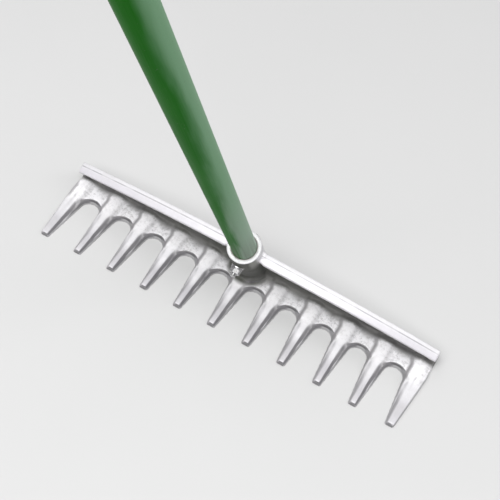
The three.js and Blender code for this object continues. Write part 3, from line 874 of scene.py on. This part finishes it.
# %% A helper for turned pieces
def turned_piece(name, outline, steps, frame_of, radius_at=None, closed=False):
    work = bmesh.new()
    rings = []
    for radius, height in outline:
        if radius == 0:
            rings.append([work.verts.new((0, 0, height))])
            continue
        ring = []
        for k in range(steps):
            angle = 2 * math.pi * k / steps
            r = radius_at(radius, height, angle) if radius_at else radius
            ring.append(work.verts.new((r * math.cos(angle), r * math.sin(angle), height)))
        rings.append(ring)
    pairs = list(zip(rings, rings[1:])) + ([(rings[-1], rings[0])] if closed else [])
    for lower, upper in pairs:
        for k in range(steps):
            a, b = lower[k % len(lower)], lower[(k + 1) % len(lower)]
            c, d = upper[(k + 1) % len(upper)], upper[k % len(upper)]
            face = list(dict.fromkeys([a, b, c, d]))
            if len(face) > 2:
                work.faces.new(face)
    bmesh.ops.recalc_face_normals(work, faces=work.faces)
    work.transform(frame_of)
    mesh = bpy.data.meshes.new(name)
    work.to_mesh(mesh)
    work.free()
    piece = bpy.data.objects.new(name, mesh)
    bpy.context.scene.collection.objects.link(piece)
    return piece


def axes_matrix(origin, up, side=(1, 0, 0)):
    up = Vector(up).normalized()
    side = Vector(side)
    turn = Matrix((side, up.cross(side), up)).transposed().to_4x4()
    return Matrix.Translation(origin) @ turn


def rounded(middle, radius, start, end, steps):
    # Points of a round corner about a middle given as (radius, height), from angle to angle.
    angles = [math.radians(start + (end - start) * k / steps) for k in range(steps + 1)]
    return [(middle[0] + radius * math.cos(a), middle[1] + radius * math.sin(a))
            for a in angles]


# %% [markdown]
# The end plug is black plastic, pushed into the open tube. Its rim is as wide as the tube
# and softly domed, with a shallow dish in the middle, where the plastic was fed into the
# mould. Thin barbs round its stem hold it in; they are hidden, but seen in a cut model.

# %% End plug
PLUG_RIM = 3 * MM
PLUG_STEM = 18 * MM
PLUG_SEAT = TUBE_TOP + 0.3 * MM
STEM_RADIUS, STEM_END, STEM_CORE, STEM_NECK = mm(11.2, 10, 10.4, 10.8)
BARB_COUNT, BARB_RISE, BARB_LENGTH = 4, 2.2 * MM, 2.5 * MM
RIM_UNDERSIDE, RIM_DOME = 0.25 * MM, 1.3 * MM
DISH = [(TUBE_RADIUS * 0.7, 0.02 * MM), (TUBE_RADIUS * 0.4, 0.12 * MM), mm(3.2, 0.2),
        mm(2.6, 0.5), (0, 0.6 * MM)]


def plug_outline():
    outline = [(0, -PLUG_STEM), (STEM_END, -PLUG_STEM)]
    for k in range(BARB_COUNT):
        base = -PLUG_STEM + (k + 0.6) * PLUG_STEM / (BARB_COUNT + 0.5)
        outline += [(STEM_CORE, base), (STEM_RADIUS, base + BARB_RISE),
                    (STEM_CORE, base + BARB_LENGTH)]
    edge = TUBE_RADIUS - RIM_UNDERSIDE
    outline += [(STEM_NECK, 0), (edge, 0)]
    outline += rounded((edge, RIM_UNDERSIDE), RIM_UNDERSIDE, -60, 0, 2)
    dome = (TUBE_RADIUS - RIM_DOME, PLUG_RIM - RIM_DOME - 0.05 * MM)
    outline += rounded(dome, RIM_DOME, 0, 80, 7)
    return outline + [(radius, PLUG_RIM - depth) for radius, depth in DISH]


plug_place = axes_matrix(ALONG * PLUG_SEAT, ALONG)
handle_plug = turned_piece("handle_plug", plug_outline(), 72, plug_place)
smooth_by_angle(handle_plug)
print("plug corners", len(handle_plug.data.vertices))

# %% [markdown]
# Matt black plastic shows a fine spark-eroded texture from its mould, small scratches from
# being stood on its end, and pale dust. The dust group is the same one that the metal uses.

# %% Finish: dark plastic
SCRATCH_TURN, SCRATCH_STRETCH = (0.3, 0.2, 0.7), (0.06, 1, 1)


def dark_plastic():
    material, n, shader, place, _ = new_material("dark plastic", Metallic=0.0)
    grain = n.group(FINE_GRAIN, Vector=place, Scale=2600.0, Roughness=0.55, Spread=0.2)
    rubbed = n.group(EDGE_WEAR, Vector=place, Start=0.53, Full=0.62)["Mask"]
    dust = n.group(DUST, Vector=place, Amount=0.4, Scale=120.0)["Mask"]
    inputs = {"Vector": place, "Rotation": SCRATCH_TURN, "Scale": SCRATCH_STRETCH}
    stretched = n.node("ShaderNodeMapping", inputs).outputs[0]
    scratches = n.span(n.noise(stretched, 1500.0, 2.0), 0.68, 0.74)
    colour = n.layers(
        (0.020, 0.022, 0.023), (n.times(rubbed, 0.5), (0.075, 0.078, 0.080)),
        (n.times(scratches, 0.5), (0.11, 0.11, 0.115)), (dust, (0.22, 0.21, 0.19)))
    rough = n.add(grain["Roughness"], n.times(dust, 0.3))
    n.surface(shader, colour, rough, grain["Height"], 0.35, 0.05 * MM)
    return material


finish_piece(handle_plug, ["handle_end_plug"], dark_plastic())

# %% [markdown]
# One bolt goes right through the socket and the handle. The nut sits in front, on a washer,
# and the round head behind. Their places are measured from the solids, along the bolt's own
# direction, so the dressed pieces stand exactly where the solids do.

# %% Where the fasteners sit
def reach_in_front(name):
    # How far in front of the handle's axis a solid begins and ends.
    distances = [-v.co.dot(BEHIND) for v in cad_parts[name].data.vertices]
    return min(distances), max(distances)


BOLT_BACK, BOLT_FRONT = reach_in_front("socket_bolt")
WASHER_BACK, WASHER_FRONT = reach_in_front("bolt_washer")
NUT_BACK, NUT_FRONT = reach_in_front("bolt_nut")
BOLT_AXIS = axes_matrix(ALONG * BOLT_ALONG, -BEHIND)
print("washer", round(WASHER_BACK, 5), "nut", round(NUT_BACK, 5), "bolt end", round(BOLT_FRONT, 5))

# %% [markdown]
# A thread is a groove that follows a helix, so a rule says it all: at each corner, take the
# turn round the bolt and the distance along it, and the sum tells how deep the groove is.
# The Geometry Nodes tree moves the corners of a plain turned bolt inwards by that rule.

# %% Geometry Nodes: cut the thread
THREAD_INPUTS = {"Thread Pitch": 1.0 * MM, "Thread Depth": 0.5 * MM, "Thread Start": 0.0,
                 "Thread End": 1.0, "Core Radius": 1.0 * MM}
LEAST_RADIUS = 0.1 * MM


def thread_tree():
    n, given, out = geometry_tree("cut thread", THREAD_INPUTS)
    place = n.node("GeometryNodeInputPosition").outputs[0]
    x, y, z = n.node("ShaderNodeSeparateXYZ", {0: place}).outputs
    turn = n.over(n.math("ARCTAN2", y, x), 2 * math.pi)
    steps = n.minus(n.over(z, given["Thread Pitch"]), turn)
    wave = n.size(n.minus(n.times(n.math("FRACT", steps), 2.0), 1.0))
    first_turn = n.add(given["Thread Start"], given["Thread Pitch"])
    inside = n.times(n.span(z, given["Thread Start"], first_turn),
                     n.math("LESS_THAN", z, given["Thread End"]))
    radius = n.math("SQRT", n.add(n.times(x, x), n.times(y, y)))
    on_wall = n.math("GREATER_THAN", radius, given["Core Radius"])
    depth = n.times(wave, given["Thread Depth"], inside, on_wall)
    share = n.minus(1.0, n.over(depth, n.largest(radius, LEAST_RADIUS)))
    cut = n.node("ShaderNodeCombineXYZ", {0: n.times(x, share), 1: n.times(y, share), 2: z})
    inputs = {"Geometry": given["Geometry"], "Position": cut.outputs[0]}
    return close_tree(n, n.node("GeometryNodeSetPosition", inputs), given, out)


CUT_THREAD = thread_tree()
print("thread tree nodes", len(CUT_THREAD.nodes))

# %% [markdown]
# Plated steel is smoother than the casting. It has a faint warm to cool drift in its zinc,
# dark tiny pits, and bright rubbed corners.

# %% Finish: plated steel
def plated_steel():
    material, n, shader, place, _ = new_material("plated steel", Metallic=1.0)
    grain = n.group(FINE_GRAIN, Vector=place, Scale=2200.0, Roughness=0.27, Spread=0.2)
    rubbed = n.group(EDGE_WEAR, Vector=place, Start=0.53, Full=0.62)["Mask"]
    cloud = n.noise(place, 260.0, 4.0, 0.6)
    zinc = n.ramp(cloud, (0.32, (0.42, 0.42, 0.41)), (0.5, (0.55, 0.55, 0.56)),
                  (0.7, (0.63, 0.62, 0.60)))
    pits = n.span(n.noise(place, 1900.0, 3.0, 0.6), 0.62, 0.7)
    colour = n.layers(zinc, (n.times(pits, 0.5), (0.32, 0.29, 0.25)),
                      (rubbed, (0.85, 0.85, 0.86)))
    rough = n.add(grain["Roughness"], n.times(pits, 0.25))
    n.surface(shader, colour, rough, grain["Height"], 0.25, 0.05 * MM)
    return material


PLATED_STEEL = plated_steel()
print("plated steel nodes", len(PLATED_STEEL.node_tree.nodes))

# %% [markdown]
# The bolt is turned with its axis along Z first, because the thread rule is written for Z,
# and only then laid across the socket. Its head is a low dome with a rounded rim.

# %% Cross bolt
BOLT_RADIUS = 3 * MM
HEAD_RADIUS = 5.5 * MM
HEAD_HEIGHT = 2.6 * MM
THREAD_LENGTH = 12 * MM
END_BEVEL = 0.7 * MM
THREAD_ROW = 0.125 * MM
DOME_ROWS, DOME_SHARE = 12, 0.97


def bolt_outline():
    seat = BOLT_BACK + HEAD_HEIGHT
    dome = (HEAD_RADIUS ** 2 + HEAD_HEIGHT ** 2) / (2 * HEAD_HEIGHT)
    sweep = math.asin(HEAD_RADIUS / dome) * DOME_SHARE
    angles = [sweep * k / DOME_ROWS for k in range(DOME_ROWS + 1)]
    outline = [(dome * math.sin(a), BOLT_BACK + dome * (1 - math.cos(a))) for a in angles]
    outline += [(HEAD_RADIUS * 0.995, seat - 0.1 * MM), (HEAD_RADIUS * 0.97, seat),
                (BOLT_RADIUS, seat)]
    start = BOLT_FRONT - THREAD_LENGTH
    rows = int(round((THREAD_LENGTH - END_BEVEL) / THREAD_ROW))
    outline += [(BOLT_RADIUS, start + THREAD_ROW * k) for k in range(rows + 1)]
    return outline + [(BOLT_RADIUS - END_BEVEL, BOLT_FRONT), (0, BOLT_FRONT)]


cross_bolt = turned_piece("cross_bolt", bolt_outline(), 48, Matrix.Identity(4))
run_tree(cross_bolt, CUT_THREAD, **{
    "Thread Start": BOLT_FRONT - THREAD_LENGTH, "Thread End": BOLT_FRONT - END_BEVEL * 0.5,
    "Core Radius": BOLT_RADIUS * 0.9, "Material": PLATED_STEEL})
live_result(cross_bolt)
cross_bolt.data.transform(BOLT_AXIS)
smooth_by_angle(cross_bolt)
finish_piece(cross_bolt, ["socket_bolt"], PLATED_STEEL)

# %% [markdown]
# A hexagon nut is a six-sided bar with its corners turned off at both ends. Written as a
# radius by angle, each flat is the apothem over the cosine of the angle from its middle,
# and the turned cone is a limit that shrinks towards each end. The smaller of the two wins,
# which draws the curved chamfer lines of a real nut by itself. The washer is a flat ring
# whose upper edges were rounded by the punch.

# %% Hexagon nut and washer
NUT_APOTHEM = 5 * MM
NUT_BORE, BORE_BEVEL = mm(3.3, 0.35)
NUT_TURN = math.radians(10)
NUT_ROWS = 24
CHAMFER_START = 5.15 * MM
CHAMFER_SLOPE = 1.9
WASHER_OUTER, WASHER_INNER, WASHER_ROUND, WASHER_BURR = mm(6.25, 3.35, 0.3, 0.1)


def nut_radius(radius, height, angle):
    if radius < NUT_APOTHEM * 0.9:
        return radius
    from_flat = (angle - NUT_TURN + math.pi / 6) % (math.pi / 3) - math.pi / 6
    from_end = min(height - NUT_BACK, NUT_FRONT - height)
    return min(NUT_APOTHEM / math.cos(from_flat), CHAMFER_START + CHAMFER_SLOPE * from_end)


def nut_outline():
    step = (NUT_FRONT - NUT_BACK) / NUT_ROWS
    wall = [(NUT_APOTHEM, NUT_BACK + step * k) for k in range(NUT_ROWS + 1)]
    return wall + [(NUT_BORE + BORE_BEVEL, NUT_FRONT), (NUT_BORE, NUT_FRONT - BORE_BEVEL),
                   (NUT_BORE, NUT_BACK + BORE_BEVEL), (NUT_BORE + BORE_BEVEL, NUT_BACK)]


def washer_outline():
    top = WASHER_FRONT - WASHER_ROUND
    return [(WASHER_INNER, WASHER_BACK), (WASHER_OUTER - WASHER_BURR, WASHER_BACK),
            (WASHER_OUTER, WASHER_BACK + WASHER_BURR),
            *rounded((WASHER_OUTER - WASHER_ROUND, top), WASHER_ROUND, 0, 90, 4),
            *rounded((WASHER_INNER + WASHER_ROUND, top), WASHER_ROUND, 90, 180, 4)]


hex_nut = turned_piece("hex_nut", nut_outline(), 144, BOLT_AXIS, nut_radius, closed=True)
smooth_by_angle(hex_nut)
finish_piece(hex_nut, ["bolt_nut"], PLATED_STEEL)
flat_washer = turned_piece("flat_washer", washer_outline(), 64, BOLT_AXIS, closed=True)
smooth_by_angle(flat_washer)
finish_piece(flat_washer, ["bolt_washer"], PLATED_STEEL)

# %% [markdown]
# The floor is plain and pale, and fades into the grey of the world far away, so that no
# horizon shows from the side. What the camera and shiny surfaces see of it is paler than
# what it throws back as light, which keeps the undersides of the casting dark.

# %% Floor
FLOOR_HALF = 6.0
FLOOR_CORNERS = ((-1, -1), (1, -1), (1, 1), (-1, 1))
FADE_START, FADE_END = 1.3, 3.4
WORLD_COLOUR = (0.35, 0.35, 0.36)
BLACK = (0, 0, 0)


def pale_floor():
    material, n, shader, place, _ = new_material(
        "pale floor", Roughness=0.85, Specular_IOR_Level=0.0, Emission_Strength=1.0)
    pale = n.mix(n.noise(place, 3.0, 4.0), (0.57, 0.57, 0.566), (0.60, 0.60, 0.596))
    far = n.span(n.length(place), FADE_START, FADE_END)
    rays = n.node("ShaderNodeLightPath").outputs
    seen = n.largest(*(rays[f"Is {kind} Ray"] for kind in ("Camera", "Glossy", "Transmission")))
    base = n.mix(seen, (0.27, 0.27, 0.26), n.mix(far, pale, BLACK))
    n.put(shader.inputs["Base Color"], base)
    n.put(shader.inputs["Emission Color"], n.mix(n.times(seen, far), BLACK, WORLD_COLOUR))
    return material


floor_mesh = bpy.data.meshes.new("floor")
floor_corners = [(x * FLOOR_HALF, y * FLOOR_HALF, 0) for x, y in FLOOR_CORNERS]
floor_mesh.from_pydata(floor_corners, [], [(0, 1, 2, 3)])
floor_mesh.materials.append(pale_floor())
floor = bpy.data.objects.new("floor", floor_mesh)
bpy.context.scene.collection.objects.link(floor)
print("floor from", floor_corners[0], "to", floor_corners[2])

# %% [markdown]
# Metal shows what is round it, so its light matters more than its colour. The main light is
# a soft panel high in front, beyond the tips of the tines. A large dim panel above fills
# in, as an overcast sky does, and a small one behind at the right gives the rim and the
# handle their sheen. The dim world leaves the side walls grey.

# %% Light and world
def panel(name, place, target, size, radiance):
    light = bpy.data.lights.new(name, "AREA")
    light.shape = "SQUARE"
    light.size = size
    light.energy = radiance * math.pi * size * size
    lamp = bpy.data.objects.new(name, light)
    turn = (Vector(target) - Vector(place)).to_track_quat("-Z", "Y").to_matrix().to_4x4()
    lamp.visible_camera = False
    lamp.matrix_world = Matrix.Translation(place) @ turn
    bpy.context.scene.collection.objects.link(lamp)
    print(name, "watts", round(light.energy, 1))


panel("sky panel", (0.2, 0.4, 3.0), (0.2, 0.4, 0), 5.0, 0.55)
panel("side panel", (2.4, 1.2, 1.9), (0, 0, 0.1), 1.2, 2.4)
panel("front panel", (-0.05, -1.55, 2.8), (0, 0, 0), 2.0, 7.6)

world = bpy.data.worlds.new("soft studio")
bpy.context.scene.world = world
world.use_nodes = True
background = world.node_tree.nodes["Background"]
background.inputs["Color"].default_value = opaque(WORLD_COLOUR)
background.inputs["Strength"].default_value = 1.0
bpy.context.scene.view_settings.view_transform = "Standard"
